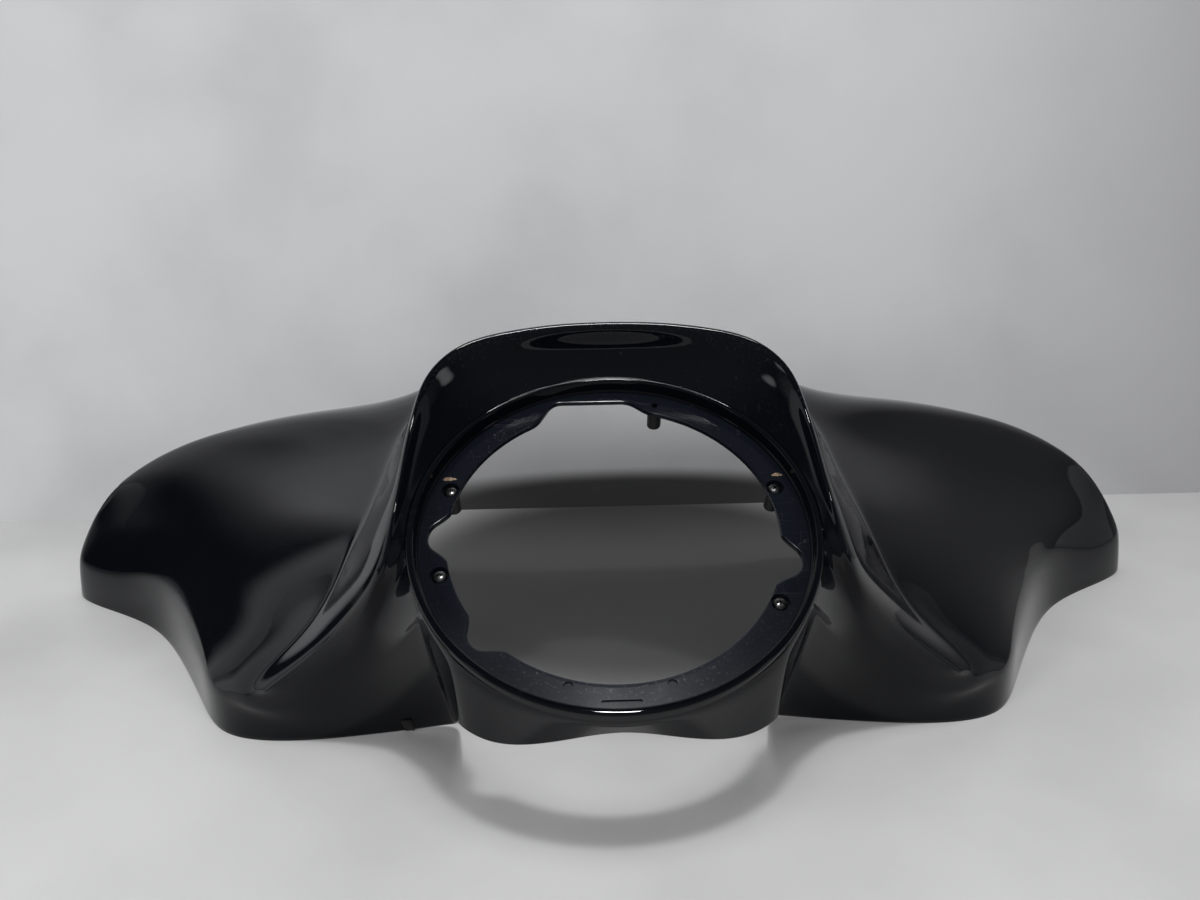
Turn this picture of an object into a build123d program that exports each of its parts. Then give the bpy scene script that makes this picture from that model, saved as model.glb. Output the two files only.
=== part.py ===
"""Outer shell of a fork-mounted touring motorcycle fairing, lying on its back on a table.

Frame: X to the right across the wings, Y away from the viewer, Z up from the table, in mm.
The skin is a cage of four-sided cells drawn through a few master lines.  Each cell becomes one
bicubic patch, the same cage moved in by the wall makes the inner skin, and both are sewn shut.
"""
import os
from math import cos, radians, sin

from build123d import *

# Driving dimensions
WALL = 3.0                  # moulded wall
TABLE_EDGE = 5.0            # cage points lower than this lie on the table edge of the skirt
RIDGE_BAND = 3.5            # half width of the rounded ridge line
CREASE_BAND = [12] * 9 + [10, 8, 6, 6, 6]   # half width of the channel behind the ridge, by station
RIDGE_RISE = 2.5            # cage stands this far above the ridge so that the rounding meets it
BOWL_SAG = 4.0              # hollow of the bowl between lip and brow
SHOULDER_ROUND = 6.0        # rounding between wing face and skirt
RING_CENTRE = (0, -100, 147)
RING_TILT = 56.5            # angle of the headlight axis above the table
LIP_R_IN = 104.5            # headlight seat
LIP_R_OUT = 108.5
LIP_TOP = 0.8               # lip above the ring plane
FLANGE_DEPTH = 8.0          # flange face below the ring plane
FLANGE_T = 3.0
FLANGE_R_IN = 88.5
SCREW_CIRCLE_R = 93.7
SCREW_ANGLES = [73.5, 120.0, 254.0, 288.5]      # clockwise from the top, seen from the front
SPARE_BOSS = (95.5, 17.0)   # empty boss: radius, angle
BOSS_R = 4.2
BOSS_LENGTH = 16.0
PILOT_R = 1.9
SEAT_R = 4.9                # round recess for a screw head
SEAT_DEPTH = 2.4            # heads lie just below the flange face
HEAD_R = 3.8
HEAD_H = 2.2
SHANK_R = 1.85
SHANK_LENGTH = 14.0
DIMPLES = [(92.5, 165.0), (92.5, 195.5)]        # shallow round marks in the flange face
DIMPLE_R = 2.4
SLOT = (97.5, 180.0)        # shallow slot at the foot of the flange
SLOT_LENGTH = 19.0
SLOT_WIDTH = 1.8
MARK_DEPTH = 1.2
TAB_SIZE = (6.0, 3.0, 14.0) # locating tab behind the edge of the left lobe
TAB_FOOT = (-124.5, -57.0, 1.0)
TAB_LEAN = 38.0             # leans forward with the lobe panel
SCREEN_HOLE_R = 3.25
SCREEN_HOLE_X = 32.0
SCREEN_HOLE_Y = 80.0
SCREEN_HOLE_Z = 209.0
SCREEN_HOLE_LEAN = 15.6     # square to the skin: lean to the rear and splay to the sides
SCREEN_HOLE_SPLAY = 9.6

# Master lines of the right half, one point per station from the top centre to the lobe corner
RIDGE = [(0, -16, 241), (30, -17.5, 240.5), (55, -21, 238), (79, -25.5, 235), (95, -34, 227.5),
         (105, -43, 216), (109, -52, 202), (112, -69, 183.5), (113, -87.5, 166), (115, -104, 150.5),
         (119, -117, 131.5), (130, -110, 112), (152.5, -92, 82), (185, -79, 53), (208, -75, 34)]
CREASE = [(0, 6, 236), (31, 5, 235), (55, 2, 232), (82, -3, 223), (100, -8, 205),
          (113, -14, 190), (120, -21, 181), (126, -36, 171), (131, -51, 156), (140, -62, 139),
          (151, -62, 118.5), (162.5, -60, 94), (182, -57, 66), (206.5, -58, 45.5), (220, -67, 31)]
CROWN = [(0, 44, 222), (45, 46, 215), (88, 56, 187), (132, 76, 164), (180, 99, 162),
         (232, 116, 160), (288, 130, 150), (341, 161, 136), (396, 183, 104), (408, 182, 68),
         (366, 134, 55), (316, 84, 51), (273, 27, 51), (244, -29, 42), (231, -66, 26)]
# Points that take the wing off its plain curve towards the notch and the tip
RISE = {7: (229, 69, 138), 8: (240, 65, 118), 9: (246, 54, 101), 10: (241, 34, 91),
        11: (236, 7, 76), 12: (227, -18, 61), 13: (225, -46, 45)}
FALL = {8: (420, 187, 84), 9: (434, 181, 58)}
SHOULDER = [(0, 86, 210), (47, 89, 205), (93, 102, 182), (138, 122, 158), (187, 142, 145),
            (241, 158, 124), (300, 170, 97), (360, 179, 68), (424, 186, 50), (452, 170, 30),
            (406, 142, 31), (346, 109, 31), (302, 46, 31), (264, -18, 30), (243, -58, 26)]
EDGE = [(0, 96, 203), (48, 99, 198), (95, 112, 174), (140, 133, 148), (191, 153, 132),
        (246, 169, 111), (306, 181, 81), (367, 188, 50), (428, 189, 12), (450, 164, 0),
        (406, 133, 0), (347, 99, 0), (303, 40, 0), (263, -23, 0), (239, -60, 0)]
LOBE_EDGE = [(98, -56, 3), (125, -60, 2), (152, -63, 1), (196, -67, 0), (239, -60, 0)]
CHIN_EDGE = [(98, -56, 3), (95.5, -66, 9), (89, -101, 31), (81.5, -138, 54), (79, -147, 57),
             (68, -153, 53), (52, -156, 51), (28, -168, 61), (0, -178, 73)]
# Angles round the headlight ring, clockwise from the top: bowl, cheek and chin stations
RING_ANGLES = [0, 14, 26, 37, 46, 54, 62, 71, 81, 91, 100, 108, 117.5, 120, 126, 132.5, 135,
               143, 153, 166, 180]
BOWL_END = 10               # last station of the bowl
CHIN_START = 12             # ring station where the chin begins
LAST = 14                   # station of the lobe corner
# Spacing of the lobe panel rows from ridge to table, stations 11 to 13
LOBE_ROWS = [[0.05, 0.10, 0.16, 0.25, 0.36, 0.48, 0.60, 0.73, 0.87, 1],
             [0.06, 0.13, 0.21, 0.31, 0.42, 0.53, 0.65, 0.77, 0.89, 1],
             [0.10, 0.20, 0.30, 0.40, 0.50, 0.60, 0.70, 0.80, 0.90, 1]]
LOBE_BULGE = [5, 3, 1]      # roll of the panel under the ridge at the same stations
LOBE_ROLL = 0.2             # share of the panel height where the roll is fullest
LOBE_LEAN = Vector(0.15, -0.9, -0.2)
WING_ROWS = ["out", "strip", "crease", "valley", "rise", "crown", "fall", "upper", "lower", "edge"]

ring_normal = Vector(0, -cos(radians(RING_TILT)), sin(radians(RING_TILT)))
ring_plane = Plane(origin=RING_CENTRE, x_dir=(1, 0, 0), z_dir=ring_normal)


def mix(a, b, t):
    """Point at share t of the way from a to b."""
    return a * (1 - t) + b * t


def ring_point(radius, angle, height):
    """Point at a clockwise angle from the top of the ring, height above the ring plane."""
    a = radians(angle)
    return ring_plane.from_local_coords(Vector(radius * sin(a), radius * cos(a), height))


def cage_points():
    """Named cage points of the right half."""
    ridge, crease, crown, shoulder, edge = [
        [Vector(*p) for p in line] for line in (RIDGE, CREASE, CROWN, SHOULDER, EDGE)]
    lobe = [Vector(*p) for p in LOBE_EDGE]
    cage = {}
    for i, angle in enumerate(RING_ANGLES):
        outward = (1 - cos(radians(angle))) / 2
        cage["ring", i] = ring_point(106.0 + 1.6 * outward, angle, -3)
    for j in range(BOWL_END + 1):
        foot = ring_point(110.5, RING_ANGLES[j], 1)
        width = (ridge[j] - foot).length
        away = (mix(foot, ridge[j], 0.5) - Vector(*RING_CENTRE))
        away = (away - ring_normal * away.dot(ring_normal)).normalized()
        sag = (away * 0.8 - ring_normal * 0.6) * min(BOWL_SAG, BOWL_SAG * width / 35)
        cage["foot", j] = foot
        cage["bowl", j] = mix(foot, ridge[j], 0.5) + sag
    for j in range(LAST):
        slope = ridge[j] - crease[j]
        strip = crease[j] + slope.normalized() * min(CREASE_BAND[j], 0.55 * slope.length)
        below = cage["bowl", j] if j <= BOWL_END else mix(ridge[j], lobe[j - BOWL_END], 0.12)
        inward = (below - ridge[j]).normalized()
        outward = (strip - ridge[j]).normalized()
        apex = ridge[j] - (inward + outward).normalized() * RIDGE_RISE
        share = (crown[j] - crease[j]).length / (shoulder[j] - crease[j]).length
        swell = (crown[j] - mix(crease[j], shoulder[j], share)) * 0.25
        drop = edge[j] - shoulder[j]
        cage["in", j] = apex + inward * min(RIDGE_BAND, 0.45 * (below - ridge[j]).length)
        cage["out", j] = apex + outward * RIDGE_BAND
        cage["strip", j] = strip
        cage["crease", j] = crease[j]
        cage["rise", j] = Vector(*RISE[j]) if j in RISE else mix(crease[j], crown[j], 0.5) + swell
        climb = cage["rise", j] - crease[j]
        cage["valley", j] = crease[j] + climb.normalized() * min(CREASE_BAND[j], 0.4 * climb.length)
        cage["crown", j] = crown[j]
        cage["fall", j] = Vector(*FALL[j]) if j in FALL else mix(crown[j], shoulder[j], 0.5)
        if j < 8:
            cage["fall", j] += swell
        back = (cage["fall", j] - shoulder[j]).normalized()
        cage["upper", j] = shoulder[j] + back * SHOULDER_ROUND
        cage["lower", j] = shoulder[j] + drop.normalized() * min(SHOULDER_ROUND, 0.4 * drop.length)
        cage["edge", j] = edge[j]
    corner = [ridge[LAST], crease[LAST], crown[LAST], shoulder[LAST], edge[LAST]]
    for name, k, t in [("in", 0, 0), ("out", 0, 0.33), ("strip", 0, 0.66), ("crease", 1, 0),
                       ("valley", 1, 0.33), ("rise", 1, 0.66), ("crown", 2, 0), ("fall", 2, 0.5),
                       ("upper", 2, 0.85), ("lower", 3, 0.25), ("edge", 3, 1)]:
        cage[name, LAST] = mix(corner[k], corner[k + 1], t)
    for i, bottom in enumerate(CHIN_EDGE, CHIN_START):
        top = ring_point(110.5, RING_ANGLES[i], -5)
        for name, t in [("chin1", 0), ("chin2", 0.3), ("chin3", 0.58), ("chin4", 0.82), ("chin5", 1)]:
            cage[name, i] = mix(top, Vector(*bottom), t)
    for c, rows in enumerate(LOBE_ROWS, 1):
        for m, t in enumerate(rows, 1):
            bulge = LOBE_LEAN * LOBE_BULGE[c - 1] * min(t / LOBE_ROLL, (1 - t) / (1 - LOBE_ROLL))
            cage[f"lobe{m}", BOWL_END + c] = mix(cage["in", BOWL_END + c], lobe[c], t) + bulge
    return cage


def cage_cells():
    """Four-sided cells of the right half, corners named and turning round the outward side."""
    cells = []

    def band(inner, outer, first, last):
        for j in range(first, last):
            cells.append([(inner, j), (inner, j + 1), (outer, j + 1), (outer, j)])

    for inner, outer in [("ring", "foot"), ("foot", "bowl"), ("bowl", "in")]:
        band(inner, outer, 0, BOWL_END)
    for inner, outer in zip(["in"] + WING_ROWS, WING_ROWS):
        band(inner, outer, 0, LAST)
    chin = ["ring", "chin1", "chin2", "chin3", "chin4", "chin5"]
    for inner, outer in zip(chin, chin[1:]):
        band(inner, outer, CHIN_START, len(RING_ANGLES) - 1)
    columns = [[("in", 10), ("bowl", 10), ("foot", 10), ("ring", 10), ("ring", 11), ("ring", 12),
                ("chin1", 12), ("chin2", 12), ("chin3", 12), ("chin4", 12), ("chin5", 12)]]
    for j in (11, 12, 13):
        columns.append([("in", j)] + [(f"lobe{m}", j) for m in range(1, 11)])
    columns.append([("in", LAST)] + [(row, LAST) for row in WING_ROWS])
    for near, far in zip(columns, columns[1:]):
        for m in range(10):
            cells.append([near[m], near[m + 1], far[m + 1], far[m]])
    return cells


def whole_cage():
    """Cage points as a list and cells as corner numbers, both halves joined at x = 0."""
    points, number = [], {}
    for name, p in cage_points().items():
        number[name, 1] = number[name, -1] = len(points)
        points.append(p)
        if abs(p.X) > 0.01:
            number[name, -1] = len(points)
            points.append(Vector(-p.X, p.Y, p.Z))
    cells = []
    for cell in cage_cells():
        cells.append([number[name, 1] for name in cell])
        cells.append([number[name, -1] for name in reversed(cell)])
    return points, cells


def moved_in(points, cells, distance):
    """The same cage, each point moved inward along its averaged normal, table edges kept level."""
    normals = [Vector(0, 0, 0) for _ in points]
    for a, b, c, d in cells:
        normal = (points[c] - points[a]).cross(points[d] - points[b])
        for k in (a, b, c, d):
            normals[k] = normals[k] + normal
    moved = []
    for p, n in zip(points, normals):
        level = Vector(n.X, n.Y, 0) if p.Z < TABLE_EDGE else n
        moved.append(p - level.normalized() * distance)
    return moved


class Skin:
    """Bicubic patches of one cage.  Neighbouring patches share their border points exactly."""

    def __init__(self, points, cells):
        self.points = points
        self.cells = cells
        self.around = {}
        for k, cell in enumerate(cells):
            for i in range(4):
                self.around.setdefault(frozenset((cell[i], cell[i - 1])), []).append(k)
        self.rim = [side for side, owners in self.around.items() if len(owners) == 1]
        self.on_rim = {}
        for side in self.rim:
            a, b = side
            self.on_rim.setdefault(a, []).append(b)
            self.on_rim.setdefault(b, []).append(a)
        self.inside = {}
        self.owners = {}
        for k, cell in enumerate(cells):
            for v in cell:
                self.owners.setdefault(v, []).append(k)
        for k, cell in enumerate(cells):
            for i, v in enumerate(cell):
                n = len(self.owners[v]) * (2 if v in self.on_rim else 1)
                near = points[cell[i - 1]] + points[cell[(i + 1) % 4]]
                far = points[cell[(i + 2) % 4]]
                self.inside[k, v] = (points[v] * n + near * 2 + far) * (1 / (n + 5))

    def corner(self, v):
        """Surface point belonging to cage point v."""
        if v in self.on_rim:
            a, b = self.on_rim[v]
            return (self.points[a] + self.points[v] * 4 + self.points[b]) * (1 / 6)
        owners = self.owners[v]
        return sum((self.inside[k, v] for k in owners), Vector(0, 0, 0)) * (1 / len(owners))

    def along(self, v, w):
        """Border control point next to v on the side towards w."""
        owners = self.around[frozenset((v, w))]
        if len(owners) == 1:
            return (self.points[v] * 2 + self.points[w]) * (1 / 3)
        return (self.inside[owners[0], v] + self.inside[owners[1], v]) * 0.5

    def side(self, v, w):
        """Four control points of the border curve from v to w."""
        return [self.corner(v), self.along(v, w), self.along(w, v), self.corner(w)]

    def faces(self):
        """One bicubic face per cell."""
        result = []
        for k, (a, b, c, d) in enumerate(self.cells):
            near_a = [self.along(a, d), self.inside[k, a], self.inside[k, b], self.along(b, c)]
            near_d = [self.along(d, a), self.inside[k, d], self.inside[k, c], self.along(c, b)]
            net = [self.side(a, b), near_a, near_d, self.side(d, c)]
            result.append(Face.make_bezier_surface(net))
        return result


def make_skin():
    """The moulded skin: outer patches, inner patches and the rim strips between them."""
    points, cells = whole_cage()
    outer = Skin(points, cells)
    inner = Skin(moved_in(points, cells, WALL), cells)
    faces = outer.faces() + inner.faces()
    for a, b in outer.rim:
        faces.append(Face.make_bezier_surface([outer.side(a, b), inner.side(a, b)]))
    return Solid(Shell(faces))


def flange_place(radius, angle, height):
    """Location on the flange side of the ring, Z along the headlight axis."""
    a = radians(angle)
    return ring_plane.location * Location((radius * sin(a), radius * cos(a), height))


def make_flange():
    """Lip, seat wall and flange of the headlight opening with its reliefs and bosses."""
    hang = (Align.CENTER, Align.CENTER, Align.MAX)
    lip = Cylinder(LIP_R_OUT, LIP_TOP + FLANGE_DEPTH + FLANGE_T, align=hang)
    lip = fillet(lip.edges().group_by(Axis.Z)[-1], 1.6)
    lip -= Cylinder(LIP_R_IN, 40)
    lip = fillet(lip.edges().group_by(Axis.Z)[-1].sort_by(SortBy.RADIUS)[0], 1.2)
    lip = Pos(0, 0, LIP_TOP) * lip
    plate = Circle(LIP_R_OUT - 1) - Circle(FLANGE_R_IN)
    plate -= Polygon((-43, 76), (-33, 95), (12, 95), (27, 82), align=None)
    for angle, radius, reach in [(104, 12, 99.5), (227, 11, 97.5), (269, 12, 98.5)]:
        a = radians(angle)
        plate -= Pos((reach - radius) * sin(a), (reach - radius) * cos(a)) * Circle(radius)
    plate = Pos(0, 0, -FLANGE_DEPTH - FLANGE_T) * extrude(plate, FLANGE_T)
    flange = ring_plane.location * (lip + plate)
    boss = Cylinder(BOSS_R, BOSS_LENGTH, align=hang)
    places = [(SCREW_CIRCLE_R, a) for a in SCREW_ANGLES] + [SPARE_BOSS]
    for radius, angle in places:
        flange += flange_place(radius, angle, -FLANGE_DEPTH - 1.5) * boss
    return flange


def cut_flange(body):
    """Pilot holes through the bosses, round seats for the screw heads, dimples and slot."""
    pilot = Cylinder(PILOT_R, 60)
    seat = Cylinder(SEAT_R, 20, align=(Align.CENTER, Align.CENTER, Align.MIN))
    for angle in SCREW_ANGLES:
        body -= flange_place(SCREW_CIRCLE_R, angle, -FLANGE_DEPTH) * pilot
        body -= flange_place(SCREW_CIRCLE_R, angle, -FLANGE_DEPTH - SEAT_DEPTH) * seat
    body -= flange_place(*SPARE_BOSS, -FLANGE_DEPTH) * pilot
    for radius, angle in DIMPLES:
        body -= flange_place(radius, angle, -FLANGE_DEPTH) * Cylinder(DIMPLE_R, 2 * MARK_DEPTH)
    body -= flange_place(*SLOT, -FLANGE_DEPTH) * Box(SLOT_LENGTH, SLOT_WIDTH, 2 * MARK_DEPTH)
    return body


def make_screw():
    """Pan-head screw with a cross recess, head underside at the origin."""
    head = Cylinder(HEAD_R, HEAD_H, align=(Align.CENTER, Align.CENTER, Align.MIN))
    head = fillet(head.edges().sort_by(Axis.Z)[-1], 1.2)
    recess = Pos(0, 0, HEAD_H) * (Box(4.4, 1.1, 2.8) + Box(1.1, 4.4, 2.8))
    shank = Cylinder(SHANK_R, SHANK_LENGTH, align=(Align.CENTER, Align.CENTER, Align.MAX))
    return head - recess + shank


def make_tab():
    """Locating tab moulded on the inside of the left lobe panel."""
    foot = (Align.CENTER, Align.CENTER, Align.MIN)
    return Pos(*TAB_FOOT) * Rot(TAB_LEAN, 0, 0) * Box(*TAB_SIZE, align=foot)


def make_screen_holes():
    """Pair of windscreen screw holes near the raised rear edge."""
    drill = Cylinder(SCREEN_HOLE_R, 30)
    return [Pos(side * SCREEN_HOLE_X, SCREEN_HOLE_Y, SCREEN_HOLE_Z)
            * Rot(-SCREEN_HOLE_LEAN, side * SCREEN_HOLE_SPLAY, 0) * drill for side in (-1, 1)]


shell = make_skin() + make_flange() + make_tab()
shell = cut_flange(shell)
for hole in make_screen_holes():
    shell -= hole
screws = [flange_place(SCREW_CIRCLE_R, angle, -FLANGE_DEPTH - SEAT_DEPTH) * make_screw()
          for angle in SCREW_ANGLES]

box = shell.bounding_box()
rest = Pos(0, -(box.min.Y + box.max.Y) / 2, -box.min.Z)
shell = rest * shell

os.makedirs("parts", exist_ok=True)
export_step(Compound(children=shell.solids()), "parts/fairing_shell.step")
export_step(Compound(children=[rest * s for s in screws]), "parts/flange_screws.step")
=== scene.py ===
# %% [markdown]
# # The looks of a touring motorcycle fairing
#
# The object is the outer shell of a fork-mounted fairing, one black moulding that lies on its rear
# rim with the headlight opening facing up and forward. Gloss black shows almost nothing of itself:
# what the eye reads is the room, bent by the surface. So the lesson spends its effort on a skin
# without ripples, on the room that it mirrors, and on the wear that breaks the mirror.

# %% Load the frame
from math import atan2, copysign, cos, hypot, pi, radians, sin, sqrt

import bmesh
import bpy
from mathutils import Matrix, Vector


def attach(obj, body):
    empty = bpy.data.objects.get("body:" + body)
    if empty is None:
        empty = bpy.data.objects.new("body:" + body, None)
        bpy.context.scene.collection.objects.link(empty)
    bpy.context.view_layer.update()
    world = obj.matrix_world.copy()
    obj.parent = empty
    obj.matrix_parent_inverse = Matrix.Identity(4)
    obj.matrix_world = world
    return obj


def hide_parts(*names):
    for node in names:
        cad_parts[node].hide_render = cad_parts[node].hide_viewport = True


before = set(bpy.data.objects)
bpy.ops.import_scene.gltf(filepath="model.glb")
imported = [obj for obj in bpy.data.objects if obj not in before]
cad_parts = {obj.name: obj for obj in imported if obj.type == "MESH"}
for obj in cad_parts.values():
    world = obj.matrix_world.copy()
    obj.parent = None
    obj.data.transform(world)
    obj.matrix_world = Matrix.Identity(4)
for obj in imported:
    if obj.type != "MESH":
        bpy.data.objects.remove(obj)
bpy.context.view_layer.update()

# %% [markdown]
# ## Camera
#
# A photo of a wide, low thing on a table is taken from close by with a short lens, so near parts
# look large. The camera gets the same short lens, stands just above the brow and looks down a
# little. It also leans by about a degree, as a hand-held camera does.

# %% Camera
MM = 0.001
CAMERA_PLACE = Vector((-14.5, -544.6, 305.0)) * MM
LOOK_DOWN = 15.0
LOOK_RIGHT = 1.0
LEAN = 1.03
LENS = 27.03

camera_data = bpy.data.cameras.new("viewer")
camera_data.sensor_fit = "HORIZONTAL"
camera_data.sensor_width = 36.0
camera_data.lens = LENS
camera = bpy.data.objects.new("viewer", camera_data)
camera.matrix_world = (
    Matrix.Translation(CAMERA_PLACE)
    @ Matrix.Rotation(radians(-LOOK_RIGHT), 4, "Z")
    @ Matrix.Rotation(radians(90 - LOOK_DOWN), 4, "X")
    @ Matrix.Rotation(radians(-LEAN), 4, "Z")
)
bpy.context.collection.objects.link(camera)
bpy.context.scene.camera = camera
bpy.context.scene.view_settings.view_transform = "Standard"
print("camera at", [round(c, 4) for c in CAMERA_PLACE])

# %% [markdown]
# ## A short hand for shader nodes
#
# Every finish below is a small graph. One helper adds a node, sets its options and joins its
# sockets, so that a graph reads from top to bottom like a recipe.


# %% Node helper
def node(tree, kind, inputs=None, **options):
    """Adds a node; an input that is a socket is linked, any other is set as its value."""
    made = tree.nodes.new(kind)
    for name, value in options.items():
        setattr(made, name, value)
    for name, value in (inputs or {}).items():
        if isinstance(value, bpy.types.NodeSocket):
            tree.links.new(value, made.inputs[name])
        else:
            made.inputs[name].default_value = value
    return made


def maths(tree, operation, a, b=0.0):
    """One arithmetic step on two values or sockets."""
    return node(tree, "ShaderNodeMath", {0: a, 1: b}, operation=operation).outputs[0]


def ramp(tree, value, low, high, to_low=0.0, to_high=1.0):
    """Maps low..high to to_low..to_high with soft ends."""
    limits = {"From Min": low, "From Max": high, "To Min": to_low, "To Max": to_high}
    made = node(tree, "ShaderNodeMapRange", {"Value": value, **limits},
                interpolation_type="SMOOTHSTEP")
    return made.outputs["Result"]


def blend_colours(tree, share, first, second):
    """Mixes two colours by a share from 0 to 1."""
    made = node(tree, "ShaderNodeMix", {0: share}, data_type="RGBA")
    for place, colour in [(6, first), (7, second)]:
        if isinstance(colour, bpy.types.NodeSocket):
            tree.links.new(colour, made.inputs[place])
        else:
            made.inputs[place].default_value = (*colour, 1.0)
    return made.outputs[2]


def new_finish(name):
    """An empty material with its node tree and its main shader."""
    finish = bpy.data.materials.new(name)
    finish.use_nodes = True
    return finish, finish.node_tree, finish.node_tree.nodes["Principled BSDF"]


print("helpers ready")

# %% [markdown]
# ## Room: bench and wall
#
# The fairing mirrors a pale bench, a pale wall close behind it and a darker room behind the viewer.
# That contrast shapes the black skin, so the room is built for real. A picture of a room on a dome
# would be quicker, but it has no near bench for the lobes to mirror. The wall is painted darker
# towards the right and upwards, as painted shade. A soft dark patch painted on bench and wall
# stands for the deep shade behind the shell.
# The wall is seen from its front only, so other cameras can look through it.

# %% Bench and wall
BENCH_LEFT = -1.5
BENCH_RIGHT = 1.6
BENCH_FRONT = -0.33
BENCH_BACK = 1.5
BENCH_GREY = (0.70, 0.70, 0.70)
WALL_PLACE = 0.362
WALL_LEFT = -1.5
WALL_RIGHT = 1.6
WALL_HEIGHT = 2.4
WALL_GREY = (0.66, 0.665, 0.68)
# Painted shade on the wall: axis, where it starts and stops fading, and to which grey
WALL_PAINTED_SHADE = [("X", 0.15, 0.80, (0.38, 0.38, 0.39)), ("X", 0.62, 0.90, (0.20, 0.20, 0.20)),
              ("Z", 0.8, 2.2, (0.10, 0.10, 0.11))]
SHADE_X = 0.03
SHADE_Y = 0.19
SHADE_SQUEEZE = {"bench": 1.05, "wall": 6.5}    # flattens the round patch along Y or Z
SHADE_FADE = (0.030, 0.085)                     # squared distances from the middle of the patch
SHADE_SHARE = 0.93
SHADE_GREY = (0.02, 0.02, 0.02)


def board_finish(name, colour, is_wall):
    """Pale painted board with faint clouds of dirt, a soft patch of painted shade, and on the wall
    painted shade towards the right and the top.
    """
    finish, tree, shader = new_finish(name)
    place = node(tree, "ShaderNodeTexCoord").outputs["Object"]
    clouds = node(tree, "ShaderNodeTexNoise", {"Vector": place, "Scale": 5.0, "Detail": 6.0})
    share = ramp(tree, clouds.outputs["Fac"], 0.35, 0.75)
    mixed = blend_colours(tree, share, colour, [0.86 * c for c in colour])
    axes = node(tree, "ShaderNodeSeparateXYZ", {0: place}).outputs
    if is_wall:
        # Painted shade: the wall turns darker towards the right and the top.
        for axis, start, stop, grey in WALL_PAINTED_SHADE:
            mixed = blend_colours(tree, ramp(tree, axes[axis], start, stop), mixed, grey)
        depth = maths(tree, "MULTIPLY", axes["Z"], SHADE_SQUEEZE["wall"])
    else:
        depth = maths(tree, "ADD", axes["Y"], -SHADE_Y)
        depth = maths(tree, "MULTIPLY", depth, SHADE_SQUEEZE["bench"])
    aside = maths(tree, "ADD", axes["X"], -SHADE_X)
    away = maths(tree, "ADD", maths(tree, "POWER", depth, 2), maths(tree, "POWER", aside, 2))
    mixed = blend_colours(tree, ramp(tree, away, *SHADE_FADE, SHADE_SHARE, 0.0), mixed, SHADE_GREY)
    tree.links.new(mixed, shader.inputs["Base Color"])
    shader.inputs["Roughness"].default_value = 0.42
    if is_wall:
        back = node(tree, "ShaderNodeNewGeometry").outputs["Backfacing"]
        clear = node(tree, "ShaderNodeBsdfTransparent").outputs[0]
        mixed = node(tree, "ShaderNodeMixShader", {0: back, 1: shader.outputs[0], 2: clear})
        tree.links.new(mixed.outputs[0], tree.nodes["Material Output"].inputs["Surface"])
    return finish


def sheet_of(name, corners, finish):
    """A flat stage sheet through four corners."""
    mesh = bpy.data.meshes.new(name)
    mesh.from_pydata(corners, [], [(0, 1, 2, 3)])
    mesh.materials.append(finish)
    sheet = bpy.data.objects.new(name, mesh)
    bpy.context.collection.objects.link(sheet)
    return sheet


sheet_of("bench_top", [(BENCH_LEFT, BENCH_FRONT, 0), (BENCH_RIGHT, BENCH_FRONT, 0),
                       (BENCH_RIGHT, BENCH_BACK, 0), (BENCH_LEFT, BENCH_BACK, 0)],
         board_finish("pale_bench", BENCH_GREY, False))
sheet_of("wall", [(WALL_LEFT, WALL_PLACE, 0), (WALL_RIGHT, WALL_PLACE, 0),
                  (WALL_RIGHT, WALL_PLACE, WALL_HEIGHT), (WALL_LEFT, WALL_PLACE, WALL_HEIGHT)],
         board_finish("pale_wall", WALL_GREY, True))
print("wall stands", WALL_PLACE, "m behind the middle of the fairing")

# %% [markdown]
# ## Mirrored cards: painted reflection
#
# Two soft black sheets paint dark places into what the paint mirrors. The card at the left is a
# painted dark reflection on the left wing, and the half-clear mat on the bench is painted shade
# that the lobes and the chin mirror, which keeps them dark. Dimming the whole room would do that
# too, but it would lose the bright parts. The camera doesn't see the sheets and they cast no shade,
# so they show only in the mirror image. Their edges fade to nothing, because a hard edge would draw
# a line in the paint.

# %% Mirrored cards of painted reflection
CARD_X = -0.50
CARD_SIZE = [(0.08, 0.01), (0.22, 0.01), (0.22, 0.22), (0.08, 0.22)]    # corners in Y and Z
CARD_FADE_Y = (0.085, 0.125, 0.170, 0.210)
CARD_FADE_Z = (0.015, 0.035, 0.11, 0.21)
MAT_Z = 0.002
MAT_SIZE = [(-0.30, -0.26), (0.30, -0.26), (0.30, -0.03), (-0.30, -0.03)]
MAT_FADE_X = (0.17, 0.27)
MAT_FADE_Y = (-0.26, -0.16)
MAT_COVER = 0.5


def in_and_out(tree, value, fade):
    """Fades in over the first two of four marks and out over the last two."""
    return maths(tree, "MULTIPLY", ramp(tree, value, *fade[:2]),
                 ramp(tree, value, *fade[2:], 1.0, 0.0))


def card_cover(tree, axes):
    """Solid in the middle of the card."""
    return maths(tree, "MULTIPLY", in_and_out(tree, axes["Y"], CARD_FADE_Y),
                 in_and_out(tree, axes["Z"], CARD_FADE_Z))


def mat_cover(tree, axes):
    """Half clear in the middle, fading to both sides and towards the viewer."""
    beside = ramp(tree, maths(tree, "ABSOLUTE", axes["X"]), *MAT_FADE_X, MAT_COVER, 0.0)
    return maths(tree, "MULTIPLY", beside, ramp(tree, axes["Y"], *MAT_FADE_Y))


def soft_black_finish(name, cover):
    """Dull black that covers as much as the given rule says."""
    finish, tree, shader = new_finish(name)
    place = node(tree, "ShaderNodeTexCoord").outputs["Object"]
    axes = node(tree, "ShaderNodeSeparateXYZ", {0: place}).outputs
    shader.inputs["Base Color"].default_value = (0.01, 0.01, 0.01, 1.0)
    shader.inputs["Roughness"].default_value = 0.9
    tree.links.new(cover(tree, axes), shader.inputs["Alpha"])
    return finish


# The card paints a dark reflection and the mat paints shade, both seen only in the mirror image.
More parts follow.
